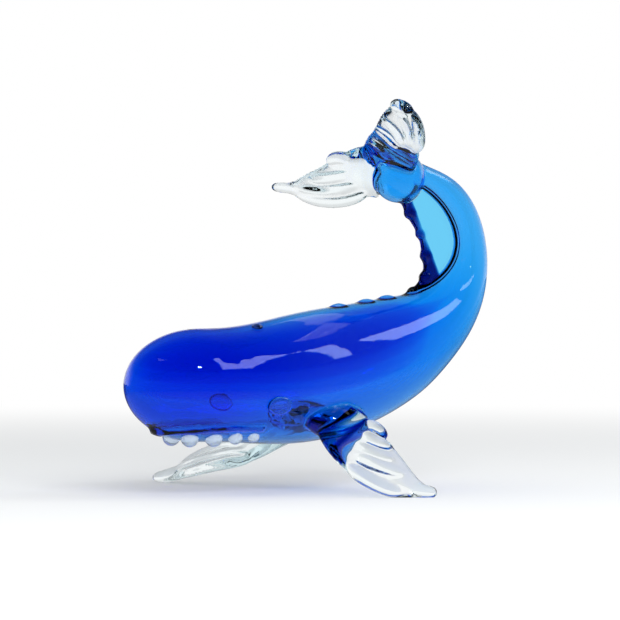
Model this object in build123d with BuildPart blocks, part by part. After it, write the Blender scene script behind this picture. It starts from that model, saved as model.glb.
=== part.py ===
from build123d import *
import os

# A solid glass sperm whale that rests on its two flippers, with its tail curled up over its back.
# The frame: +Z up, the head points along -X, the whale's left side faces -Y, and the table is at
# height 0. All sizes are in millimetres. The source is drawn about the whale's middle plane, and
# the finished pieces are moved so that the origin is under the middle of the whole figure.

# Sizes of the body
body_length = 116.0
nose_length = 21.8
shoulder_diameter = 35.7
tail_diameter = 9.9
head_axis_height = 29.5
tail_rise = 58.0
nose_skin = 1.3

# Sizes of the crest inside the tail's curl, and of the knuckles on the back
crest_web_thickness = 3.2
crest_bead_radius = 1.35
crest_knuckle_radius = 2.0
back_knuckle_radius = 4.4
back_knuckle_stand = 0.7

# Sizes of the flippers
left_flipper_span = 40.0
right_flipper_span = 60.0
flipper_root_spread = 14.0
flipper_chord = 15.0
flipper_thickness = 2.2
flipper_finger_radius = 1.8
flipper_tip_radius = 1.9
flipper_tip_height = 1.4
shoulder_length = 18.6
shoulder_radius = 4.7
shoulder_bulge = 0.8
shoulder_height = 19.2
left_shoulder_x = -1.3
right_shoulder_x = 4.0
left_root_x = -4.0
left_root_height = 21.0
left_tip_x = 10.8
right_root_x = 6.0
right_root_height = 18.0
right_tip_x = -14.1

# Sizes of the fluke
knob_radius = 7.3
knob_reach = 5.7
knob_drop = 0.9
knob_bead_radius = 2.3
fluke_half_span = 30.0
left_lobe_reach = 18.3
right_lobe_reach = 21.4
left_lobe_rise = 16.5
right_lobe_drop = 2.3
left_lobe_chord = 15.0
right_lobe_chord = 18.0
fluke_thickness = 2.0
fluke_finger_radius = 1.7
fluke_tip_radius = 1.5

# Sizes and places of the face
eye_length = 7.4
eye_height = 5.4
eye_stand = 1.0
eye_round_share = 0.9
eye_back = 37.5
eye_height_above_table = 24.1
blowhole_radius = 1.9
blowhole_stand = 1.0
blowhole_back = 36.8
blowhole_side = 5.0
jaw_trail_radius = 1.1
jaw_half_width = 10.4
chin_back = 8.6
chin_radius = 3.2
chin_stand = 1.2
tooth_radius = 2.4
tooth_stand = 2.5

# The line through the middle of the body. Each row has the share of the run towards the back of
# the curl, and the share of the rise to the tail's end.
spine_shares = [
    (0.000, 0.000),
    (0.192, 0.003),
    (0.419, 0.042),
    (0.562, 0.092),
    (0.675, 0.148),
    (0.868, 0.300),
    (0.985, 0.530),
    (1.000, 0.690),
    (0.930, 0.880),
    (0.790, 1.004),
]

# The body's girth along that line. Each row has the share of the way from the head to the tail's
# end, the share of the greatest diameter, the blue core's share of the diameter there, and how far
# the core lies to the back's side, as a share of that diameter.
girth_shares = [
    (0.00, 0.852, 0.90, 0.02),
    (0.04, 0.860, 0.87, 0.03),
    (0.12, 0.908, 0.75, 0.09),
    (0.24, 0.988, 0.57, 0.17),
    (0.37, 0.944, 0.50, 0.21),
    (0.50, 0.781, 0.46, 0.21),
    (0.62, 0.541, 0.48, 0.17),
    (0.73, 0.339, 0.66, 0.09),
    (0.83, 0.253, 0.76, 0.04),
    (0.93, 0.220, 0.74, 0.03),
    (1.00, 0.196, 0.66, 0.00),
]

nose_x = -body_length / 2
dome_x = nose_x + nose_length
spine_run = body_length / 2 - tail_diameter / 2 - dome_x
head_girth = shoulder_diameter * girth_shares[0][1]


def along_body(run_share, rise_share):
    """A place in the middle plane of the whale."""
    return Vector(dome_x + spine_run * run_share, 0, head_axis_height + tail_rise * rise_share)


def between(start, end, shares):
    """A place between two others, with its own share along each axis."""
    return Vector(*[a + (b - a) * share for a, b, share in zip(start, end, shares)])


spine = Edge.make_spline(
    [along_body(*row) for row in spine_shares],
    tangents=[Vector(1, 0, 0), Vector(-1, 0, 0.2)],
)


def body_station(share):
    """The plane square to the spine, with its local Y towards the whale's back."""
    place = spine.position_at(share)
    return Plane(origin=place, x_dir=(0, 1, 0), z_dir=spine.tangent_at(share))


def nose(length, radius, lift):
    """The rounded front of the head: a quarter of an ellipse turned about the head's own axis."""
    axis_height = head_axis_height + lift
    with BuildPart() as dome:
        with BuildSketch(Plane.XZ):
            with BuildLine():
                EllipticalCenterArc((dome_x, axis_height), length, radius, 90, arc_size=90)
                Line((dome_x - length, axis_height), (dome_x, axis_height))
                Line((dome_x, axis_height), (dome_x, axis_height + radius))
            make_face()
        revolve(axis=Axis((dome_x, 0, axis_height), (1, 0, 0)))
    return dome.part


# The blue core, sealed inside the clear casing and nearer to the back than to the belly
_, _, core_share, core_offset_share = girth_shares[0]
core_nose = nose(nose_length - nose_skin, head_girth * core_share / 2, head_girth * core_offset_share)
with BuildPart() as body_core:
    for place_share, girth_share, core_share, core_offset_share in girth_shares:
        girth = shoulder_diameter * girth_share
        with BuildSketch(body_station(place_share)):
            with Locations((0, girth * core_offset_share)):
                Circle(girth * core_share / 2)
    loft()
    add(core_nose)
body_core.part.label = "body_core"

# The clear casing: the whole outer body, hollow where the core fills it
outer_nose = nose(nose_length, head_girth / 2, 0)
with BuildPart() as body_whole:
    for place_share, girth_share, _, _ in girth_shares:
        with BuildSketch(body_station(place_share)):
            Circle(shoulder_diameter * girth_share / 2)
    loft()
    add(outer_nose)
outer_body = body_whole.part

with BuildPart() as body_casing:
    add(outer_body)
    add(body_core.part, mode=Mode.SUBTRACT)
body_casing.part.label = "body_casing"


def skin_hit(inside, heading):
    """Where a line from inside the body comes out through its skin, and the way the skin faces."""
    hits = outer_body.find_intersection_points(Axis(inside, heading))
    place, facing = max(hits, key=lambda hit: (hit[0] - inside).dot(heading))
    return place, facing if facing.dot(heading) > 0 else -facing


def bead_place(inside, heading, radius, stand):
    """The middle of a bead that stands a little way out of the skin."""
    place, facing = skin_hit(inside, heading)
    return place - facing * (radius - stand)


# The crest: a thin web inside the tail's curl, with a beaded edge pinched into knuckles.
# Each row has the share of the spine's run and the share of the tail's rise.
crest_edge_shares = [
    (0.748, 0.888),
    (0.780, 0.795),
    (0.819, 0.702),
    (0.830, 0.621),
    (0.836, 0.552),
    (0.819, 0.481),
    (0.775, 0.422),
    (0.702, 0.378),
]
crest_seat_shares = (0.50, 0.60, 0.72, 0.80, 0.89, 1.00)
crest_knuckle_shares = (0.12, 0.30, 0.47, 0.64, 0.80)
crest_edge = Edge.make_spline([along_body(*row) for row in crest_edge_shares])
with BuildPart() as dorsal_crest:
    with BuildSketch(Plane.XZ):
        with BuildLine():
            Spline(*[(place.X, place.Z) for place in (along_body(*row) for row in crest_edge_shares)])
            seat = [spine.position_at(share) for share in crest_seat_shares]
            Polyline(
                (crest_edge.position_at(1).X, crest_edge.position_at(1).Z),
                *[(place.X, place.Z) for place in seat],
                (crest_edge.position_at(0).X, crest_edge.position_at(0).Z),
            )
        make_face()
    extrude(amount=crest_web_thickness / 2, both=True)
    with BuildSketch(Plane(origin=crest_edge @ 0, z_dir=crest_edge % 0)):
        Circle(crest_bead_radius)
    sweep(path=crest_edge)
    with Locations(*[crest_edge.position_at(share) for share in crest_knuckle_shares]):
        Sphere(crest_knuckle_radius)
    add(outer_body, mode=Mode.SUBTRACT)

# The fluke's root: a round knob that the tail's end is sunk into, with a small bead on its front
tail_end = along_body(*spine_shares[-1])
knob_place = tail_end - Vector(knob_reach, 0, knob_drop)
knob_bead_shares = (-0.89, -0.21, 0.41)
knob_bead_place = knob_place + Vector(*[knob_radius * share for share in knob_bead_shares])
with BuildPart() as fluke_knob:
    with Locations(knob_place):
        Sphere(knob_radius)
    with Locations(knob_bead_place):
        Sphere(knob_bead_radius)
    add(outer_body, mode=Mode.SUBTRACT)
fluke_knob.part.label = "fluke_knob"

with BuildPart() as crest_seated:
    add(dorsal_crest.part)
    add(fluke_knob.part, mode=Mode.SUBTRACT)
crest_seated.part.label = "dorsal_crest"

# The knuckles pinched up along the back, ahead of the crest
back_knuckle_shares = (0.33, 0.40, 0.455)
with BuildPart() as back_knuckles:
    for share in back_knuckle_shares:
        inside = spine.position_at(share)
        with Locations(bead_place(inside, Vector(0, 0, 1), back_knuckle_radius, back_knuckle_stand)):
            Sphere(back_knuckle_radius)
    add(outer_body, mode=Mode.SUBTRACT)
back_knuckles.part.label = "back_knuckles"


def blade(path_points, chord_heading, chord_shares, thick_shares, chord, thickness):
    """A thin tapering blade of oval sections, square to a curved path from root to tip."""
    path = Edge.make_spline(path_points)
    with BuildPart() as shape:
        for place, chord_share, thick_share in zip(path_points, chord_shares, thick_shares):
            along = path.tangent_at(path.param_at_point(place))
            across = chord_heading - along * chord_heading.dot(along)
            with BuildSketch(Plane(origin=place, x_dir=across, z_dir=along)):
                Ellipse(chord * chord_share / 2, thickness * thick_share / 2)
        loft()
    return shape.part


def blade_place(path_points, chord_heading, chord, span_share, chord_share):
    """A place in the blade's middle surface."""
    path = Edge.make_spline(path_points)
    along = path.tangent_at(span_share)
    across = (chord_heading - along * chord_heading.dot(along)).normalized()
    return path.position_at(span_share) + across * chord * chord_share


# The swelling of a finger, and of the drop on the shoulder: share of the length, share of the radius
finger_swell_shares = [(0.0, 0.45), (0.12, 0.90), (0.5, 1.0), (0.85, 0.80), (1.0, 0.40)]
shoulder_swell_shares = [(0.0, 0.28), (0.16, 0.74), (0.5, 1.0), (0.84, 0.74), (1.0, 0.28)]

# Where the drop at a blade's tip starts and has its middle, along the blade
tip_drop_shares = (0.87, 0.95)


def finger(start, middle, end, radius, swell_shares=finger_swell_shares):
    """A pinched finger of glass: a bent round rod, swollen in the middle."""
    with BuildPart() as rod:
        with BuildLine(mode=Mode.PRIVATE) as bend:
            ThreePointArc(start, middle, end)
        for place, share in swell_shares:
            with BuildSketch(Plane(origin=bend.line @ place, z_dir=bend.line % place)):
                Circle(radius * share)
        loft()
    return rod.part


def ribbed_blade(points, heading, chord_shares, thick_shares, sizes, finger_shares, carriers):
    """A blade with its fingers and its drawn-out tip, cut to what carries it."""
    chord, thickness, finger_radius, tip_radius = sizes
    paddle = blade(points, heading, chord_shares, thick_shares, chord, thickness)
    fingers = [
        finger(*[blade_place(points, heading, chord, *share) for share in shares], finger_radius)
        for shares in finger_shares
    ]
    path = Edge.make_spline(points)
    tip_start, tip_middle = [path.position_at(share) for share in tip_drop_shares]
    tip_end = points[-1] + path.tangent_at(1) * tip_radius
    with BuildPart() as built:
        add(paddle)
        for rod in fingers:
            add(rod)
        add(finger(tip_start, tip_middle, tip_end, tip_radius))
        for carrier in carriers:
            add(carrier, mode=Mode.SUBTRACT)
    return built.part


# The flippers: each is a fat drop of glass laid on the shoulder and drawn out into a blade, which
# is pinched into fingers that fan out to its edge. A finger's row has its start, middle and end,
# each as shares of the span and of the chord.
flipper_chord_shares = (0.80, 1.02, 1.02, 0.80, 0.50, 0.24)
flipper_thick_shares = (2.80, 2.00, 1.20, 1.00, 1.00, 1.00)
left_flipper_finger_shares = [
    ((0.22, 0.41), (0.29, 0.49), (0.42, 0.50)),
    ((0.26, 0.13), (0.38, 0.27), (0.54, 0.44)),
    ((0.31, -0.09), (0.44, 0.06), (0.64, 0.27)),
    ((0.39, -0.20), (0.57, -0.02), (0.79, 0.18)),
    ((0.44, -0.42), (0.64, -0.36), (0.84, -0.22)),
]
right_flipper_finger_shares = [
    ((0.30, 0.24), (0.46, 0.38), (0.62, 0.40)),
    ((0.36, -0.06), (0.62, 0.20), (0.87, 0.22)),
    ((0.34, -0.32), (0.60, -0.08), (0.93, 0.06)),
    ((0.34, -0.48), (0.60, -0.32), (0.84, -0.20)),
]
# The line of the shoulder's drop, as shares of its length and of its bulge
shoulder_shares = [(-0.5, 0), (0, 1), (0.5, 0)]
# The middle line of each flipper, as shares of the way from shoulder to tip along each axis
left_flipper_shares = [
    (0.00, 0.00, 0.00),
    (0.12, 0.28, 0.27),
    (0.23, 0.50, 0.51),
    (0.49, 0.72, 0.77),
    (0.75, 0.89, 0.95),
    (1.00, 1.00, 1.00),
]
right_flipper_shares = [
    (0.00, 0.00, 0.00),
    (0.21, 0.31, 0.32),
    (0.47, 0.56, 0.53),
    (0.72, 0.75, 0.74),
    (0.89, 0.90, 0.93),
    (1.00, 1.00, 1.00),
]
flipper_sizes = (flipper_chord, flipper_thickness, flipper_finger_radius, flipper_tip_radius)


def flipper(name, root, tip, path_shares, chord_heading, finger_shares, side, shoulder_x):
    """One flipper, with a flat where it rests on the table."""
    points = [between(root, tip, shares) for shares in path_shares]
    shoulder_line = [
        Vector(
            shoulder_x + shoulder_length * along,
            side * (flipper_root_spread + shoulder_bulge * out),
            shoulder_height,
        )
        for along, out in shoulder_shares
    ]
    whole = ribbed_blade(
        points,
        chord_heading,
        flipper_chord_shares,
        flipper_thick_shares,
        flipper_sizes,
        finger_shares,
        [],
    )
    with BuildPart() as built:
        add(whole)
        add(finger(*shoulder_line, shoulder_radius, shoulder_swell_shares))
        add(outer_body, mode=Mode.SUBTRACT)
        split(bisect_by=Plane.XY, keep=Keep.TOP)
    built.part.label = name
    return built.part


left_flipper = flipper(
    "left_flipper",
    (left_root_x, -flipper_root_spread, left_root_height),
    (left_tip_x, -left_flipper_span, flipper_tip_height),
    left_flipper_shares,
    Vector(0.88, -0.08, 0.47),
    left_flipper_finger_shares,
    -1,
    left_shoulder_x,
)
right_flipper = flipper(
    "right_flipper",
    (right_root_x, flipper_root_spread, right_root_height),
    (right_tip_x, right_flipper_span, flipper_tip_height),
    right_flipper_shares,
    Vector(0.72, 0.16, 0.67),
    right_flipper_finger_shares,
    1,
    right_shoulder_x,
)

# The fluke's two lobes, which spring from the knob. The left one is rolled up and the right
# one lies lower. The rows are as for the flippers.
lobe_thick_shares = (3.20, 1.90, 1.10, 1.00, 1.00, 1.00)
left_lobe_chord_shares = (0.90, 1.06, 0.95, 0.82, 0.66, 0.40)
right_lobe_chord_shares = (0.70, 1.00, 0.80, 0.72, 0.42, 0.20)
left_lobe_finger_shares = [
    ((0.44, -0.39), (0.70, -0.39), (0.97, -0.22)),
    ((0.96, 0.18), (1.00, 0.00), (0.96, -0.20)),
    ((0.46, -0.25), (0.70, -0.18), (0.90, 0.08)),
    ((0.44, -0.12), (0.60, 0.04), (0.69, 0.32)),
    ((0.38, -0.06), (0.46, 0.14), (0.47, 0.44)),
    ((0.24, 0.04), (0.27, 0.24), (0.26, 0.50)),
    ((0.06, 0.15), (0.13, 0.30), (0.14, 0.56)),
]
right_lobe_finger_shares = [
    ((0.16, -0.33), (0.56, -0.34), (0.85, -0.15)),
    ((0.20, -0.15), (0.48, -0.08), (0.84, 0.04)),
    ((0.18, 0.08), (0.40, 0.14), (0.66, 0.22)),
    ((0.20, 0.30), (0.24, 0.45), (0.32, 0.40)),
    ((0.08, 0.22), (0.12, 0.40), (0.14, 0.52)),
]
left_lobe_shares = [
    (0.12, 0.05, 0.22),
    (0.40, 0.23, 0.38),
    (0.57, 0.47, 0.56),
    (0.78, 0.70, 0.75),
    (0.94, 0.88, 0.89),
    (1.10, 1.00, 1.05),
]
right_lobe_shares = [
    (0.19, 0.05, -0.35),
    (0.48, 0.20, -0.17),
    (0.58, 0.43, 0.70),
    (0.62, 0.67, 1.20),
    (0.76, 0.87, 1.20),
    (1.00, 1.00, 1.00),
]


def lobe(name, tip, path_shares, chord_heading, chord, chord_shares, finger_shares, carriers):
    """One lobe of the fluke."""
    points = [between(tuple(knob_place), tip, shares) for shares in path_shares]
    built = ribbed_blade(
        points,
        chord_heading,
        chord_shares,
        lobe_thick_shares,
        (chord, fluke_thickness, fluke_finger_radius, fluke_tip_radius),
        finger_shares,
        carriers,
    )
    built.label = name
    return built


left_lobe = lobe(
    "left_fluke_lobe",
    tuple(knob_place + Vector(-left_lobe_reach, -fluke_half_span, left_lobe_rise)),
    left_lobe_shares,
    Vector(-0.61, 0.69, 0.41),
    left_lobe_chord,
    left_lobe_chord_shares,
    left_lobe_finger_shares,
    [fluke_knob.part, outer_body],
)
right_lobe = lobe(
    "right_fluke_lobe",
    tuple(knob_place + Vector(-right_lobe_reach, fluke_half_span, -right_lobe_drop)),
    right_lobe_shares,
    Vector(-0.64, -0.39, 0.66),
    right_lobe_chord,
    right_lobe_chord_shares,
    right_lobe_finger_shares,
    [fluke_knob.part, outer_body, left_lobe],
)


def eye(name, side):
    """A flat oval drop of glass on the side of the head."""
    inside = Vector(nose_x + eye_back, 0, eye_height_above_table)
    place, facing = skin_hit(inside, Vector(0, side, 0))
    with BuildPart() as drop:
        with BuildSketch(Plane(origin=place, x_dir=(1, 0, 0), z_dir=facing)):
            Ellipse(eye_length / 2, eye_height / 2)
        extrude(amount=eye_stand, both=True)
        fillet(drop.edges().sort_by(Axis(place, facing))[-1], eye_stand * eye_round_share)
        add(outer_body, mode=Mode.SUBTRACT)
    drop.part.label = name
    return drop.part


left_eye = eye("left_eye", -1)
right_eye = eye("right_eye", 1)

# The blowhole: a dark bead on the left of the head's top
blowhole_inside = Vector(nose_x + blowhole_back, -blowhole_side, head_axis_height)
with BuildPart() as blowhole:
    with Locations(bead_place(blowhole_inside, Vector(0, 0, 1), blowhole_radius, blowhole_stand)):
        Sphere(blowhole_radius)
    add(outer_body, mode=Mode.SUBTRACT)
blowhole.part.label = "blowhole"

# The jaw: a trail of glass laid round the underside of the head, with a blob for the chin.
# Each row has the share of the way from the chin to the eye, and of the jaw's half width.
jaw_shares = [(0.92, 1.06), (0.55, 1.00), (0.22, 0.82), (0.00, 0.00)]
jaw_side_shares = [(back, -side) for back, side in jaw_shares[-2::-1]]
jaw_reach = eye_back - chin_back


def under_head(back_share, side_share):
    """A place on the underside of the head."""
    inside = Vector(
        nose_x + chin_back + jaw_reach * back_share, jaw_half_width * side_share, head_axis_height
    )
    place, _ = skin_hit(inside, Vector(0, 0, -1))
    return place


jaw_path = Edge.make_spline([under_head(*row) for row in jaw_shares + jaw_side_shares])
chin_inside = Vector(nose_x + chin_back, 0, head_axis_height)
with BuildPart() as jaw:
    with BuildSketch(Plane(origin=jaw_path @ 0, z_dir=jaw_path % 0)):
        Circle(jaw_trail_radius)
    sweep(path=jaw_path)
    with Locations(bead_place(chin_inside, Vector(0, 0, -1), chin_radius, chin_stand)):
        Sphere(chin_radius)
    add(outer_body, mode=Mode.SUBTRACT)
jaw.part.label = "jaw"

# The teeth: four rounded drops on each side of the jaw, smaller towards the corner of the mouth.
# Each row has the share of the way back, the share of the half width and the share of the size.
tooth_shares = [(0.25, 0.46, 1.00), (0.475, 0.60, 1.00), (0.69, 0.68, 0.85), (0.87, 0.76, 0.70)]


def teeth(name, side):
    """The row of teeth on one side."""
    with BuildPart() as row_of_teeth:
        for back, width, size in tooth_shares:
            inside = Vector(
                nose_x + chin_back + jaw_reach * back,
                side * jaw_half_width * width,
                head_axis_height,
            )
            radius = tooth_radius * size
            with Locations(bead_place(inside, Vector(0, 0, -1), radius, tooth_stand * size)):
                Sphere(radius)
        add(outer_body, mode=Mode.SUBTRACT)
        add(jaw.part, mode=Mode.SUBTRACT)
    row_of_teeth.part.label = name
    return row_of_teeth.part


left_teeth = teeth("left_teeth", -1)
right_teeth = teeth("right_teeth", 1)

os.makedirs("parts", exist_ok=True)
pieces = [
    body_casing.part,
    body_core.part,
    crest_seated.part,
    back_knuckles.part,
    fluke_knob.part,
    left_lobe,
    right_lobe,
    left_flipper,
    right_flipper,
    left_eye,
    right_eye,
    blowhole.part,
    jaw.part,
    left_teeth,
    right_teeth,
]
# The origin lies under the middle of the whole figure, which the longer right flipper moves
# away from the whale's own middle plane.
side_shift = (right_flipper_span - left_flipper_span) / 2
for piece in pieces:
    centred = piece.moved(Location((0, -side_shift, 0)))
    export_step(centred, f"parts/{piece.label}.step")
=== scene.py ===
"""A hot-worked glass sperm whale: a clear skin over cobalt-blue glass, with pinched clear fins."""

import math

import bmesh
import bpy
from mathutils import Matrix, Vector


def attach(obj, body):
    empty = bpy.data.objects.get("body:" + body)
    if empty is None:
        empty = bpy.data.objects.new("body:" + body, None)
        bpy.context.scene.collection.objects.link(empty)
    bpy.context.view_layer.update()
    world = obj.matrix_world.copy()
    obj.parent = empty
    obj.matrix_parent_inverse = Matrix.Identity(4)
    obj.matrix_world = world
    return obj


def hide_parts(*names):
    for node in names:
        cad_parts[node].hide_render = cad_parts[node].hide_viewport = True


bl_info = {
    "name": "Glass Whale Figurine",
    "version": (1, 0, 0),
    "blender": (4, 5, 0),
    "location": "View3D > Sidebar > Glass Whale",
    "description": "Dresses the packed whale figurine in hot-worked glass and sets its stage",
    "category": "Add Mesh",
}

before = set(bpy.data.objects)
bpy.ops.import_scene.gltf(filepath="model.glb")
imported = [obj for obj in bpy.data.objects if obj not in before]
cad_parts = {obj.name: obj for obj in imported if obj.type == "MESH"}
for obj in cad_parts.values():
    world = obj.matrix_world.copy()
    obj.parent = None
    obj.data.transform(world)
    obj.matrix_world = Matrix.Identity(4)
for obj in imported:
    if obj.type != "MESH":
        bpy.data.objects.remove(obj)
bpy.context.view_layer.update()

MM = 0.001

# The photograph's view, which the backdrop and the lamps follow
VIEW_AZIMUTH = math.radians(-33)
VIEW_HEADING = Vector((-math.sin(VIEW_AZIMUTH), math.cos(VIEW_AZIMUTH), 0))
VIEW_TARGET = Vector((-1.05, -10.0, 49.6)) * MM
VIEW_DISTANCE = 800 * MM
SENSOR_WIDTH = 36
FOCAL_LENGTH = 169.5
NEAREST_SEEN = 10 * MM

# How light bends: real glass, and glass that is fused into other glass and shows no surface
GLASS_IOR = 1.5
FUSED_IOR = 1.0

# Share of red, green and blue light that each surface lets by on its way to the table
SHADOW_TINT = (0.90, 0.915, 0.94)

# The teeth, whitish glass that paints their highlights: the share of light that passes through them, and
# how their surface scatters it
TOOTH_CLARITY = 0.68
TOOTH_ROUGHNESS = 0.04

# Nodes that the clear skin fuses into one and stands for
SKIN_NODES = (
    "body_casing",
    "dorsal_crest",
    "back_knuckles",
    "fluke_knob",
    "left_fluke_lobe",
    "right_fluke_lobe",
    "left_flipper",
    "right_flipper",
)

# Mesh size of the glass inside each part
BODY_GRAIN = 0.6 * MM
CREST_GRAIN = 0.35 * MM
FIN_GRAIN = 0.4 * MM
FACE_GRAIN = 0.25 * MM

# How glass flows smooth: the strength of one round, and the rounds that the small parts take
FLOW_STRENGTH = 0.5
SMALL_FLOW = 3

# How far the coloured glass lies under the surface of the small parts
CREST_DEPTH = 0.2 * MM
CREST_EDGE_DEPTH = 0.3 * MM
FIN_DEPTH = 0.25 * MM
TRAIL_DEPTH = 0.15 * MM

# Depths in mm of the body's glass: the tinted wall's two sides, and how much deeper each blue lies
WALL_OUTER_DEPTH = 0.12
WALL_INNER_DEPTH = 0.32
HEAD_WALL_EXTRA = 0.42
AZURE_BELOW_WALL = 0.08
BACK_BELOW_AZURE = 0.5

# Where the wall starts to thicken towards the head and where it is thickest, in mm along and up
HEAD_WALL_START = (-2, 14)
HEAD_WALL_FULL = (-40, 21)

# The body's middle in mm: its upright plane, and its line, which bends up behind the bend's start
MIDDLE_PLANE = -10
MIDDLE_HEIGHT = 29.5
BEND_START = -18
BEND_RATE = 0.0042

# The back's layers: level over the middle line, as a share of the reach in mm, and nodes replaced
LEVEL_REACH = 16
BACK_LAYERS = (
    ("low_back_glass", -0.05, ()),
    ("mid_back_glass", 0.30, ("body_core",)),
    ("high_back_glass", 0.55, ()),
)

# What is left of a layer's height below its level
FLATTENED = 0.25

# Where the layers end at nose and tail, in mm, and how far their ends are staggered
NOSE_END = -53.8
NOSE_STAGGER = 1.6
NOSE_END_HEADING = Vector((-1, 0, 0))
TAIL_END = 46
TAIL_END_HEIGHT = 54
TAIL_STAGGER = 3
TAIL_END_HEADING = Vector((0.45, 0, 0.9))

# Where in mm the layers narrow to a thread, by what share, and how far it runs over the middle line
THREAD_START = 24
THREAD_FULL = 47
THREAD_LOSS = 0.93
THREAD_RISE = 7

# Where the crest's dark edge is cut off from its web, in mm
CREST_EDGE_PLACE = Vector((33.8, 0, 76.9))
CREST_EDGE_HEADING = Vector((0.910, 0, 0.415))

# Middle lines of the flippers from shoulder to tip, in mm, and the fluke's knob with its near lobe
LEFT_SHOULDER = Vector((-4.0, -24.0, 21.0))
LEFT_TIP = Vector((10.8, -50.0, 1.4))
RIGHT_SHOULDER = Vector((6.0, 4.0, 18.0))
RIGHT_TIP = Vector((-14.1, 50.0, 1.4))
KNOB = Vector((28.6, MIDDLE_PLANE, 86.8))
LEFT_LOBE_HEADING = Vector((-0.62, -0.59, 0.52))

# How far the coloured glass reaches into the fins, in mm from the shoulder or knob
SHOULDER_REACH = 4.2
BAND_START = 8.0
BAND_END = 9.3
# The near lobe's dark root glass is painted shade where the knob meets the lobe
LOBE_ROOT_SHADE_REACH = 8.2

# The table in metres: its size, and where it starts to turn white and is as white as the backdrop
TABLE_RADIUS = 6.0
TABLE_SIDES = 96
WHITE_START = 0.16
WHITE_FULL = 0.75

# The table in the glass's reflections: where it starts and ends to dim, in metres, and its light
MIRROR_NEAR = 0.03
MIRROR_FAR = 0.2
MIRROR_NEAR_LIGHT = 0.4
MIRROR_FAR_LIGHT = 0.06

# Where the backdrop starts and is full, as the cosine of the angle to the line of sight
BACKDROP_START = 0.2
BACKDROP_FULL = 0.7

# Where the dim ceiling starts and is full, as the sine of the height over the horizon
CEILING_START = 0.15
CEILING_FULL = 0.45

# How bright the room and its ceiling are in reflections, and seen through the glass; 1 is white
ROOM_REFLECTED = 0.05
ROOM_SEEN_THROUGH = 0.85
CEILING_REFLECTED = 0.08
CEILING_SEEN_THROUGH = 0.8

# The surroundings' light on the table; 1 is white
TABLE_LIGHT = 0.60

# Lamps: degrees right of the camera and up, mm away, wide and high, watts, mirrored by the glass
LAMPS = (
    ("side window", 64, 41, 1000, 110, 380, 0.38, True),
    ("back window", 97, 42, 1000, 440, 250, 1.0, True),
    ("far window", 34, 38, 1600, 90, 30, 0.8, True),
    ("room light", 16, 23, 1000, 560, 560, 8.6, False),
)

# How many sides of nested glass a ray may pass
LIGHT_BOUNCES = 32


def linear(hex_colour):
    """A linear colour from an sRGB hex value."""
    channels = [int(hex_colour[i : i + 2], 16) / 255 for i in (1, 3, 5)]
    return [c / 12.92 if c <= 0.04045 else ((c + 0.055) / 1.055) ** 2.4 for c in channels]


def add_node(tree, kind, inputs=None, **settings):
    """Adds a node with its settings, and sets or links its inputs."""
    node = tree.nodes.new(kind)
    for name, value in settings.items():
        setattr(node, name, value)
    for name, value in (inputs or {}).items():
        if isinstance(value, bpy.types.NodeSocket):
            tree.links.new(value, node.inputs[name])
        else:
            node.inputs[name].default_value = value
    return node


def new_material(name):
    """An empty material with its node tree."""
    material = bpy.data.materials.new(name)
    material.use_nodes = True
    material.node_tree.nodes.clear()
    return material, material.node_tree


def clear_glass(name, ior, soak):
    """Fire-polished glass: smooth to the touch, with bright small highlights and dark thin edges.

    soak holds how much red, green and blue the glass takes out of the light in each millimetre.
    """
    material, tree = new_material(name)
    surface = add_node(
        tree,
        "ShaderNodeBsdfPrincipled",
        {"Base Color": (1, 1, 1, 1), "Roughness": 0.0, "IOR": ior, "Transmission Weight": 1.0},
    )
    path = add_node(tree, "ShaderNodeLightPath")
    see_through = add_node(tree, "ShaderNodeBsdfTransparent", {"Color": (*SHADOW_TINT, 1)})
    mix = add_node(
        tree,
        "ShaderNodeMixShader",
        {0: path.outputs["Is Shadow Ray"], 1: surface.outputs[0], 2: see_through.outputs[0]},
    )
    strongest = max(soak)
    tint = [1 - taken / strongest for taken in soak]
    volume = add_node(
        tree, "ShaderNodeVolumeAbsorption", {"Color": (*tint, 1), "Density": strongest / MM}
    )
    add_node(
        tree, "ShaderNodeOutputMaterial", {"Surface": mix.outputs[0], "Volume": volume.outputs[0]}
    )
    return material


def fused_glass(name, soak):
    """Glass that is fused into the glass round it: it has no surface of its own, only a colour."""
    return clear_glass(name, FUSED_IOR, soak)


def highlight_painted_glass():
    """Whitish glass of the teeth, a painted highlight: bright under any light, so that they stand out
    from the cobalt.
    """
    material, tree = new_material("whitish glass painted with the teeth's highlights")
    surface = add_node(
        tree,
        "ShaderNodeBsdfPrincipled",
        {
            "Base Color": (*linear("#e2f1ff"), 1),
            "Roughness": TOOTH_ROUGHNESS,
            "IOR": GLASS_IOR,
            "Transmission Weight": TOOTH_CLARITY,
        },
    )
    add_node(tree, "ShaderNodeOutputMaterial", {"Surface": surface.outputs[0]})
    return material


def merged_copy(name, nodes, join_within=0.002 * MM):
    """One mesh from copies of these nodes, with its doubled corners merged."""
    mesh = bpy.data.meshes.new(name)
    work = bmesh.new()
    for node in nodes:
        work.from_mesh(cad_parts[node].data)
    bmesh.ops.remove_doubles(work, verts=work.verts, dist=join_within)
    work.to_mesh(mesh)
    work.free()
    piece = bpy.data.objects.new(name, mesh)
    bpy.context.collection.objects.link(piece)
    return piece


def melt(piece, grain, rounds, depth=0.0):
    """Melts the pieces of a mesh into one skin and lets it flow smooth, as the torch does.

    depth is how far the finished skin lies under the real surface.
    """
    fuse = piece.modifiers.new("melt", "REMESH")
    fuse.mode = "VOXEL"
    fuse.voxel_size = grain
    fuse.use_smooth_shade = True
    flow = piece.modifiers.new("flow", "SMOOTH")
    flow.factor = FLOW_STRENGTH
    flow.iterations = rounds
    if depth:
        inset = piece.modifiers.new("lie under the skin", "DISPLACE")
        inset.mid_level = 0.0
        inset.strength = -depth
        settle = piece.modifiers.new("settle", "SMOOTH")
        settle.factor = FLOW_STRENGTH
        settle.iterations = rounds


def ramp(value, start, end):
    """Runs smoothly from 0 to 1 while the value goes from start to end."""
    share = min(max((value - start) / (end - start), 0), 1)
    return share * share * (3 - 2 * share)


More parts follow.
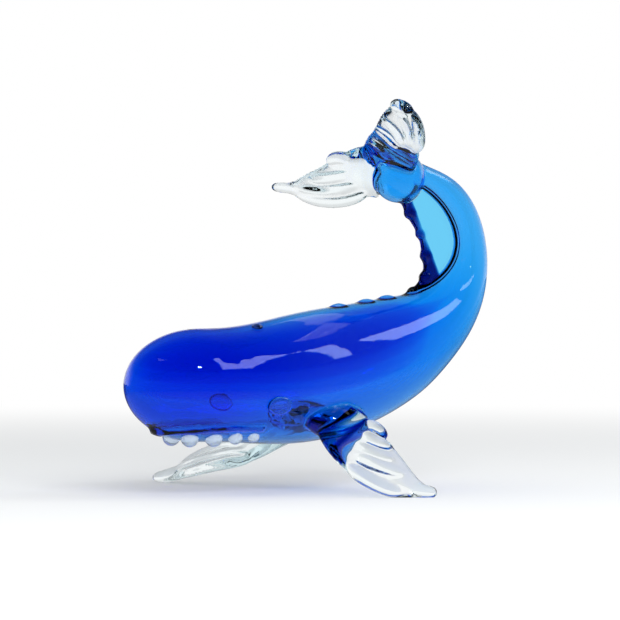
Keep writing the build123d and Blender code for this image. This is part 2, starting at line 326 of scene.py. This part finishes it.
def sink(work, depth_at):
    """Moves every corner inward by the depth in mm that depth_at gives for its place in mm."""
    work.normal_update()
    moves = [vert.normal * depth_at(vert.co / MM) * MM for vert in work.verts]
    for vert, move in zip(work.verts, moves):
        vert.co -= move


def reworked(piece, change):
    """Applies the piece's modifiers, and then a change that is made to its mesh."""
    bpy.context.view_layer.update()
    ready = piece.evaluated_get(bpy.context.evaluated_depsgraph_get())
    work = bmesh.new()
    work.from_mesh(ready.to_mesh())
    ready.to_mesh_clear()
    change(work)
    for face in work.faces:
        face.smooth = True
    piece.modifiers.clear()
    work.to_mesh(piece.data)
    work.free()


def keep_below(work, place, heading):
    """Cuts off what lies beyond a plane and closes the cut."""
    bmesh.ops.bisect_plane(
        work,
        geom=[*work.verts, *work.edges, *work.faces],
        plane_co=place,
        plane_no=heading,
        clear_outer=True,
    )
    rim = [edge for edge in work.edges if edge.is_boundary]
    bmesh.ops.holes_fill(work, edges=rim, sides=0)


def body_glass(name, context):
    """The body and knob melted into one, as a start for the glass inside their skin."""
    piece = merged_copy(name, ["body_casing", "fluke_knob"])
    melt(piece, BODY_GRAIN, context.scene.whale_sizes.flow)
    return piece


def add_inner_side(piece, context, depth_at):
    """Makes the piece hollow, with an inner side depth_at mm under the skin of body and knob."""
    inner = body_glass("inner_side", context)
    reworked(inner, lambda work: sink(work, depth_at))
    reworked(inner, lambda work: bmesh.ops.reverse_faces(work, faces=work.faces))
    reworked(piece, lambda work: work.from_mesh(inner.data))
    bpy.data.objects.remove(inner)


def finish_piece(piece, material, nodes=()):
    """Gives the piece its material and its place in the figurine, and hides the nodes that it stands
    for.
    """
    if not piece.data.polygons:
        raise RuntimeError(f"{piece.name} has no faces left")
    piece.data.materials.clear()
    piece.data.materials.append(material)
    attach(piece, "root")
    if nodes:
        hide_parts(*nodes)


class WhaleSizes(bpy.types.PropertyGroup):
    """Sizes that a user would change."""

    grain: bpy.props.FloatProperty(
        name="Skin grain", description="Size of the skin's mesh", default=0.5 * MM, unit="LENGTH"
    )
    flow: bpy.props.IntProperty(
        name="Flow", description="How far the fused glass has flowed smooth", default=5
    )
    skin_depth: bpy.props.FloatProperty(
        name="Skin depth", description="Thickness of the blown wall", default=0.8 * MM, unit="LENGTH"
    )


def glass_colour(name, description, soak):
    """A colour given as the light that a millimetre of the glass takes out of red, green and blue."""
    return bpy.props.FloatVectorProperty(
        name=name, description=description, default=soak, subtype="COLOR", min=0, max=5
    )


class WhaleColours(bpy.types.PropertyGroup):
    """Colours that a user would change: light taken out of red, green and blue in each millimetre."""

    skin: glass_colour("Clear glass", "What the clear glass takes out", (0.020, 0.006, 0.003))
    wall: glass_colour("Body wall", "What the body's thin wall takes out", (4.2, 1.50, 0.11))
    azure: glass_colour("Azure glass", "What body, tail and knob take out", (0.24, 0.039, 0.001))
    back: glass_colour("Back", "What each layer of the blue back takes out", (0.12, 0.028, 0.0045))
    web: glass_colour("Crest", "What the crest takes out", (0.58, 0.134, 0.006))
    edge: glass_colour("Crest edge", "What the crest's dark edge takes out", (3.0, 1.5, 0.60))
    teal: glass_colour("Near shoulder", "What the near shoulder takes out", (0.55, 0.22, 0.09))
    pale: glass_colour("Far shoulder", "What the far shoulder takes out", (0.12, 0.03, 0.004))
    navy: glass_colour("Flipper band", "What the near flipper's band takes out", (0.9, 0.45, 0.17))
    # The near lobe's root: dark glass that paints the shade where the knob meets the lobe
    root: glass_colour("Fluke root painted shade", "What the painted shade at the near lobe's root takes out", (0.8, 0.30, 0.08))
    eye: glass_colour("Eyes", "What the eyes' drops take out", (0.9, 0.35, 0.05))
    # The blowhole's dark bead paints the shade of its dimple
    dark: glass_colour("Dark glass", "What the blowhole's bead, painted shade, takes out", (1.6, 1.2, 0.55))
    trail: glass_colour("Trail", "What the jaw's cobalt trail takes out", (1.6, 0.9, 0.22))


class WHALE_OT_skin(bpy.types.Operator):
    """The clear skin: casing, crest, knuckles, knob, fluke lobes, flippers and jaw fused into one"""

    bl_idname = "whale.skin"
    bl_label = "Clear skin"

    def execute(self, context):
        sizes = context.scene.whale_sizes
        piece = merged_copy("clear_skin", [*SKIN_NODES, "jaw"])
        melt(piece, sizes.grain, sizes.flow)
        add_inner_side(piece, context, lambda place: sizes.skin_depth / MM)
        # Blown and fire-polished: sharp window reflections, and fins that show mostly by their edges
        glass = clear_glass("fire-polished clear glass", GLASS_IOR, context.scene.whale_colours.skin)
        finish_piece(piece, glass, SKIN_NODES)
        return {"FINISHED"}


class WHALE_OT_blue(bpy.types.Operator):
    """The blue glass of the body, palest along the belly and deepest along the back and in the head"""

    bl_idname = "whale.blue"
    bl_label = "Blue glass"

    def execute(self, context):
        colours = context.scene.whale_colours
        depth = context.scene.whale_sizes.skin_depth / MM + AZURE_BELOW_WALL
        self.wall(context)
        # Azure through the whole body: it glows pale blue where the glass is thin, as in the tail
        self.layer(context, "azure_glass", "azure glass", colours.azure, depth)
        # Layer on layer deepens to cobalt along the back, and fades towards the belly
        finish = "cobalt-blue glass of the back"
        for name, share, nodes in BACK_LAYERS:
            below = depth + BACK_BELOW_AZURE + share
            self.layer(context, name, finish, colours.back, below, share, nodes)
        return {"FINISHED"}

    def layer(self, context, name, finish, soak, depth, share=None, nodes=()):
        """One zone of blue, depth mm under the skin, and in the back alone where it has a share."""
        piece = body_glass(name, context)
        reworked(piece, lambda work: sink(work, lambda place: depth))
        if share is not None:
            reworked(piece, lambda work: self.flatten(work, share))
            reworked(piece, self.draw_out)
        finish_piece(piece, fused_glass(finish, soak), nodes)

    def wall(self, context):
        """The tinted wall, thicker at the head, which draws the dark line round the body."""
        piece = body_glass("body_wall_glass", context)
        reworked(piece, lambda work: sink(work, lambda place: WALL_OUTER_DEPTH))
        add_inner_side(piece, context, self.wall_depth)
        # Seen edge on, the thin wall is nearly black, and seen square, it only deepens the blue
        glass = fused_glass("navy-blue wall glass", context.scene.whale_colours.wall)
        finish_piece(piece, glass)

    def wall_depth(self, place):
        """Depth in mm of the tinted wall's inner side, which is deepest over the head."""
        along = ramp(place.x, HEAD_WALL_START[0], HEAD_WALL_FULL[0])
        up = ramp(place.z, HEAD_WALL_START[1], HEAD_WALL_FULL[1])
        return WALL_INNER_DEPTH + HEAD_WALL_EXTRA * along * up

    def middle(self, along):
        """Height in mm of the body's middle line at a place along it."""
        return MIDDLE_HEIGHT + BEND_RATE * max(along - BEND_START, 0) ** 2

    def flatten(self, work, share):
        """Presses what lies below the layer's level up against it, and cuts off nose and tail.

        Each layer is cut at places of its own, because ends that lie in one plane come out black.
        """
        tail_end = Vector((TAIL_END - TAIL_STAGGER * share, 0, TAIL_END_HEIGHT)) * MM
        keep_below(work, tail_end, TAIL_END_HEADING)
        for vert in work.verts:
            level = (self.middle(vert.co.x / MM) + share * LEVEL_REACH) * MM
            if vert.co.z < level:
                vert.co.z = level + (vert.co.z - level) * FLATTENED
        nose_end = Vector((NOSE_END + NOSE_STAGGER * share, 0, MIDDLE_HEIGHT)) * MM
        keep_below(work, nose_end, NOSE_END_HEADING)

    def draw_out(self, work):
        """Draws the layer out to a thin thread where the tail rises."""
        plane = MIDDLE_PLANE * MM
        for vert in work.verts:
            left = 1 - THREAD_LOSS * ramp(vert.co.x / MM, THREAD_START, THREAD_FULL)
            height = (self.middle(vert.co.x / MM) + THREAD_RISE) * MM
            vert.co.y = plane + (vert.co.y - plane) * left
            vert.co.z = height + (vert.co.z - height) * left


class WHALE_OT_crest(bpy.types.Operator):
    """The azure glass inside the crest, and the dark glass along its edge"""

    bl_idname = "whale.crest"
    bl_label = "Crest glass"

    def execute(self, context):
        colours = context.scene.whale_colours
        web = merged_copy("crest_glass", ["dorsal_crest"])
        melt(web, CREST_GRAIN, SMALL_FLOW, CREST_DEPTH)
        # A thin sheet of azure: an even, pale blue with the backdrop bright behind it
        finish_piece(web, fused_glass("azure glass of the crest", colours.web))
        edge = merged_copy("crest_edge_glass", ["dorsal_crest"])
        melt(edge, CREST_GRAIN, SMALL_FLOW, CREST_EDGE_DEPTH)
        reworked(edge, lambda work: keep_below(work, CREST_EDGE_PLACE * MM, CREST_EDGE_HEADING))
        # The pinched edge is thick and navy: it reads as a dark line of knuckles
        finish_piece(edge, fused_glass("navy glass of the crest's edge", colours.edge))
        return {"FINISHED"}


class WHALE_OT_roots(bpy.types.Operator):
    """The coloured glass at the roots of the flippers, and dark glass painted as shade at the near fluke
    lobe's root
    """

    bl_idname = "whale.roots"
    bl_label = "Fin roots"

    def execute(self, context):
        colours = context.scene.whale_colours
        # The drop on the near shoulder: a smoky teal between the blue body and the clear flipper
        teal = fused_glass("teal glass of the shoulder drops", colours.teal)
        # The far shoulder shows through the body, so its teal is kept pale
        pale = fused_glass("pale teal glass of the far shoulder", colours.pale)
        # A band across the near flipper: dark where the fingers leave the shoulder
        navy = fused_glass("navy glass at the fins' roots", colours.navy)
        # Painted shade where the knob meets the near lobe: dark blue glass, rich beside the clear
        # fingers
        root = fused_glass("dark blue glass painted as shade at the fluke's root", colours.root)
        left = (LEFT_TIP - LEFT_SHOULDER).normalized()
        right = (RIGHT_TIP - RIGHT_SHOULDER).normalized()
        lobe = LEFT_LOBE_HEADING.normalized()
        for name, node, glass, start, heading, near, far in (
            ("left_shoulder_glass", "left_flipper", teal, LEFT_SHOULDER, left, None, SHOULDER_REACH),
            ("left_root_glass", "left_flipper", navy, LEFT_SHOULDER, left, BAND_START, BAND_END),
            ("right_shoulder_glass", "right_flipper", pale, RIGHT_SHOULDER, right, None, SHOULDER_REACH),
            ("left_lobe_root_painted_shade", "left_fluke_lobe", root, KNOB, lobe, None, LOBE_ROOT_SHADE_REACH),
        ):
            piece = merged_copy(name, [node])
            melt(piece, FIN_GRAIN, SMALL_FLOW, FIN_DEPTH)
            reworked(piece, lambda work: self.keep_slice(work, start, heading, near, far))
            finish_piece(piece, glass)
        return {"FINISHED"}

    def keep_slice(self, work, start, heading, near, far):
        """Keeps the glass between two planes across a fin, near and far being mm from its start."""
        keep_below(work, (start + heading * far) * MM, heading)
        if near is not None:
            keep_below(work, (start + heading * near) * MM, -heading)


class WHALE_OT_face(bpy.types.Operator):
    """The eyes, the blowhole, the jaw's dark trail and the teeth"""

    bl_idname = "whale.face"
    bl_label = "Face"

    def execute(self, context):
        colours = context.scene.whale_colours
        # The blowhole's bead: glass so deep in colour that it looks black, painted shade that stands for
        # the shade in the blowhole's dimple
        dark = clear_glass("dark blue glass trail", GLASS_IOR, colours.dark)
        # Flat drops pressed on the head, seen by their dark rims
        blue = clear_glass("blue glass drop", GLASS_IOR, colours.eye)
        # Whitish teeth: a painted highlight on their clear glass
        highlit_glass = highlight_painted_glass()
        # The trail lies inside the skin and draws the mouth as a dark line
        trail = fused_glass("cobalt-blue glass trail", colours.trail)
        for node, glass, slot, depth in (
            ("left_eye", blue, "eye_blue", 0.0),
            ("right_eye", blue, "eye_blue", 0.0),
            ("blowhole", dark, "dark_bead", 0.0),
            ("jaw", trail, "dark_trail", TRAIL_DEPTH),
            ("left_teeth", highlit_glass, "tooth_clear", 0.0),
            ("right_teeth", highlit_glass, "tooth_clear", 0.0),
        ):
            piece = merged_copy(node + "_glass", [node])
            melt(piece, FACE_GRAIN, SMALL_FLOW, depth)
            finish_piece(piece, glass, [node])
        return {"FINISHED"}


class WHALE_OT_stage(bpy.types.Operator):
    """The white table, the soft light, the surroundings and the camera"""

    bl_idname = "whale.stage"
    bl_label = "Stage"

    def execute(self, context):
        self.floor()
        self.surroundings(context.scene)
        self.lights()
        self.camera(context.scene)
        context.scene.view_settings.view_transform = "Standard"
        context.scene.cycles.max_bounces = LIGHT_BOUNCES
        context.scene.cycles.transmission_bounces = LIGHT_BOUNCES
        return {"FINISHED"}

    def floor(self):
        """A white table that takes the soft shadow and turns into the white backdrop far off."""
        mesh = bpy.data.meshes.new("white table")
        work = bmesh.new()
        bmesh.ops.create_circle(work, cap_ends=True, radius=TABLE_RADIUS, segments=TABLE_SIDES)
        work.to_mesh(mesh)
        work.free()
        table = bpy.data.objects.new("white table", mesh)
        bpy.context.collection.objects.link(table)
        table.data.materials.append(self.painted_board())

    def painted_board(self):
        """White painted board: matt and even, and dimmer in the glass than to the eye."""
        material, tree = new_material("white painted board")
        place = add_node(tree, "ShaderNodeTexCoord")
        reach = add_node(
            tree, "ShaderNodeVectorMath", {0: place.outputs["Object"]}, operation="LENGTH"
        )
        far = add_node(
            tree,
            "ShaderNodeMapRange",
            {"Value": reach.outputs["Value"], "From Min": WHITE_START, "From Max": WHITE_FULL},
            interpolation_type="SMOOTHSTEP",
        )
        board = add_node(tree, "ShaderNodeBsdfDiffuse", {"Color": (*linear("#f4f6f7"), 1)})
        white = add_node(tree, "ShaderNodeEmission", {"Color": (1, 1, 1, 1), "Strength": 1.0})
        to_the_eye = add_node(
            tree,
            "ShaderNodeMixShader",
            {0: far.outputs["Result"], 1: board.outputs[0], 2: white.outputs[0]},
        )
        mirrored = add_node(
            tree,
            "ShaderNodeMapRange",
            {
                "Value": reach.outputs["Value"],
                "From Min": MIRROR_NEAR,
                "From Max": MIRROR_FAR,
                "To Min": MIRROR_NEAR_LIGHT,
                "To Max": MIRROR_FAR_LIGHT,
            },
        )
        dim = add_node(
            tree, "ShaderNodeEmission", {"Color": (1, 1, 1, 1), "Strength": mirrored.outputs["Result"]}
        )
        path = add_node(tree, "ShaderNodeLightPath")
        # A ray that passes through clear glass counts as glossy too, and is taken off again
        reflected = add_node(
            tree,
            "ShaderNodeMath",
            {0: path.outputs["Is Glossy Ray"], 1: path.outputs["Is Transmission Ray"]},
            operation="SUBTRACT",
            use_clamp=True,
        )
        seen = add_node(
            tree,
            "ShaderNodeMixShader",
            {0: reflected.outputs["Value"], 1: to_the_eye.outputs[0], 2: dim.outputs[0]},
        )
        add_node(tree, "ShaderNodeOutputMaterial", {"Surface": seen.outputs[0]})
        return material

    def surroundings(self, scene):
        """A white backdrop behind the whale, and a room in front of it and above it.

        The eye sees white all round. The glass mirrors a dim room, and lets a bright one through.
        """
        world = bpy.data.worlds.new("room")
        world.use_nodes = True
        tree = world.node_tree
        tree.nodes.clear()
        place = add_node(tree, "ShaderNodeTexCoord")
        path = add_node(tree, "ShaderNodeLightPath")
        behind = add_node(
            tree,
            "ShaderNodeVectorMath",
            {0: place.outputs["Generated"], 1: tuple(VIEW_HEADING)},
            operation="DOT_PRODUCT",
        )
        backdrop = add_node(
            tree,
            "ShaderNodeMapRange",
            {"Value": behind.outputs["Value"], "From Min": BACKDROP_START, "From Max": BACKDROP_FULL},
            interpolation_type="SMOOTHSTEP",
        )
        room = add_node(
            tree,
            "ShaderNodeMapRange",
            {
                "Value": path.outputs["Is Transmission Ray"],
                "To Min": ROOM_REFLECTED,
                "To Max": ROOM_SEEN_THROUGH,
            },
        )
        level = add_node(
            tree,
            "ShaderNodeMapRange",
            {"Value": backdrop.outputs["Result"], "To Min": room.outputs["Result"], "To Max": 1.0},
        )
        up = add_node(tree, "ShaderNodeSeparateXYZ", {0: place.outputs["Generated"]})
        ceiling = add_node(
            tree,
            "ShaderNodeMapRange",
            {
                "Value": path.outputs["Is Transmission Ray"],
                "To Min": CEILING_REFLECTED,
                "To Max": CEILING_SEEN_THROUGH,
            },
        )
        overhead = add_node(
            tree,
            "ShaderNodeMapRange",
            {
                "Value": up.outputs["Z"],
                "From Min": CEILING_START,
                "From Max": CEILING_FULL,
                "To Min": 1.0,
                "To Max": ceiling.outputs["Result"],
            },
            interpolation_type="SMOOTHSTEP",
        )
        shaded = add_node(
            tree,
            "ShaderNodeMath",
            {0: level.outputs["Result"], 1: overhead.outputs["Result"]},
            operation="MULTIPLY",
        )
        table_light = add_node(
            tree,
            "ShaderNodeMath",
            {0: path.outputs["Is Diffuse Ray"], 1: TABLE_LIGHT},
            operation="MULTIPLY",
        )
        white_share = add_node(
            tree,
            "ShaderNodeMath",
            {0: path.outputs["Is Camera Ray"], 1: table_light.outputs["Value"]},
            operation="MAXIMUM",
        )
        strength = add_node(
            tree,
            "ShaderNodeMapRange",
            {"Value": white_share.outputs["Value"], "To Min": shaded.outputs["Value"], "To Max": 1.0},
        )
        sky = add_node(
            tree, "ShaderNodeBackground", {"Color": (1, 1, 1, 1), "Strength": strength.outputs["Result"]}
        )
        add_node(tree, "ShaderNodeOutputWorld", {"Surface": sky.outputs[0]})
        scene.world = world

    def lights(self):
        """Three windows to the right of the camera, one of them far off, and the room's soft light."""
        for name, turn, rise, distance, width, height, power, mirrored in LAMPS:
            bearing = VIEW_AZIMUTH - math.radians(90 - turn)
            climb = math.radians(rise)
            heading = Vector(
                (
                    math.cos(bearing) * math.cos(climb),
                    math.sin(bearing) * math.cos(climb),
                    math.sin(climb),
                )
            )
            lamp = bpy.data.lights.new(name, "AREA")
            lamp.shape = "RECTANGLE"
            lamp.size = width * MM
            lamp.size_y = height * MM
            lamp.energy = power
            light = bpy.data.objects.new(name, lamp)
            light.visible_glossy = mirrored
            light.visible_transmission = mirrored
            light.location = heading * distance * MM
            light.rotation_euler = (VIEW_TARGET - light.location).to_track_quat("-Z", "Y").to_euler()
            bpy.context.collection.objects.link(light)

    def camera(self, scene):
        """A long lens about level with the whale's middle."""
        lens = bpy.data.cameras.new("camera")
        lens.sensor_width = SENSOR_WIDTH
        lens.lens = FOCAL_LENGTH
        lens.clip_start = NEAREST_SEEN
        eye = bpy.data.objects.new("camera", lens)
        eye.location = VIEW_TARGET - VIEW_HEADING * VIEW_DISTANCE
        eye.rotation_euler = VIEW_HEADING.to_track_quat("-Z", "Y").to_euler()
        bpy.context.collection.objects.link(eye)
        scene.camera = eye


class WHALE_PT_panel(bpy.types.Panel):
    """Lists the pieces of the whale and its stage"""

    bl_label = "Glass Whale"
    bl_space_type = "VIEW_3D"
    bl_region_type = "UI"
    bl_category = "Glass Whale"

    def draw(self, context):
        for step in STEPS:
            self.layout.operator(step.bl_idname)


STEPS = (
    WHALE_OT_skin,
    WHALE_OT_blue,
    WHALE_OT_crest,
    WHALE_OT_roots,
    WHALE_OT_face,
    WHALE_OT_stage,
)
CLASSES = (WhaleSizes, WhaleColours, *STEPS, WHALE_PT_panel)


def register():
    for kind in CLASSES:
        bpy.utils.register_class(kind)
    bpy.types.Scene.whale_sizes = bpy.props.PointerProperty(type=WhaleSizes)
    bpy.types.Scene.whale_colours = bpy.props.PointerProperty(type=WhaleColours)


def unregister():
    del bpy.types.Scene.whale_colours
    del bpy.types.Scene.whale_sizes
    for kind in reversed(CLASSES):
        bpy.utils.unregister_class(kind)


def main():
    """Makes every piece and the stage."""
    register()
    for step in STEPS:
        group, name = step.bl_idname.split(".")
        getattr(getattr(bpy.ops, group), name)()
    bpy.context.view_layer.update()


if __name__ == "__main__":
    main()
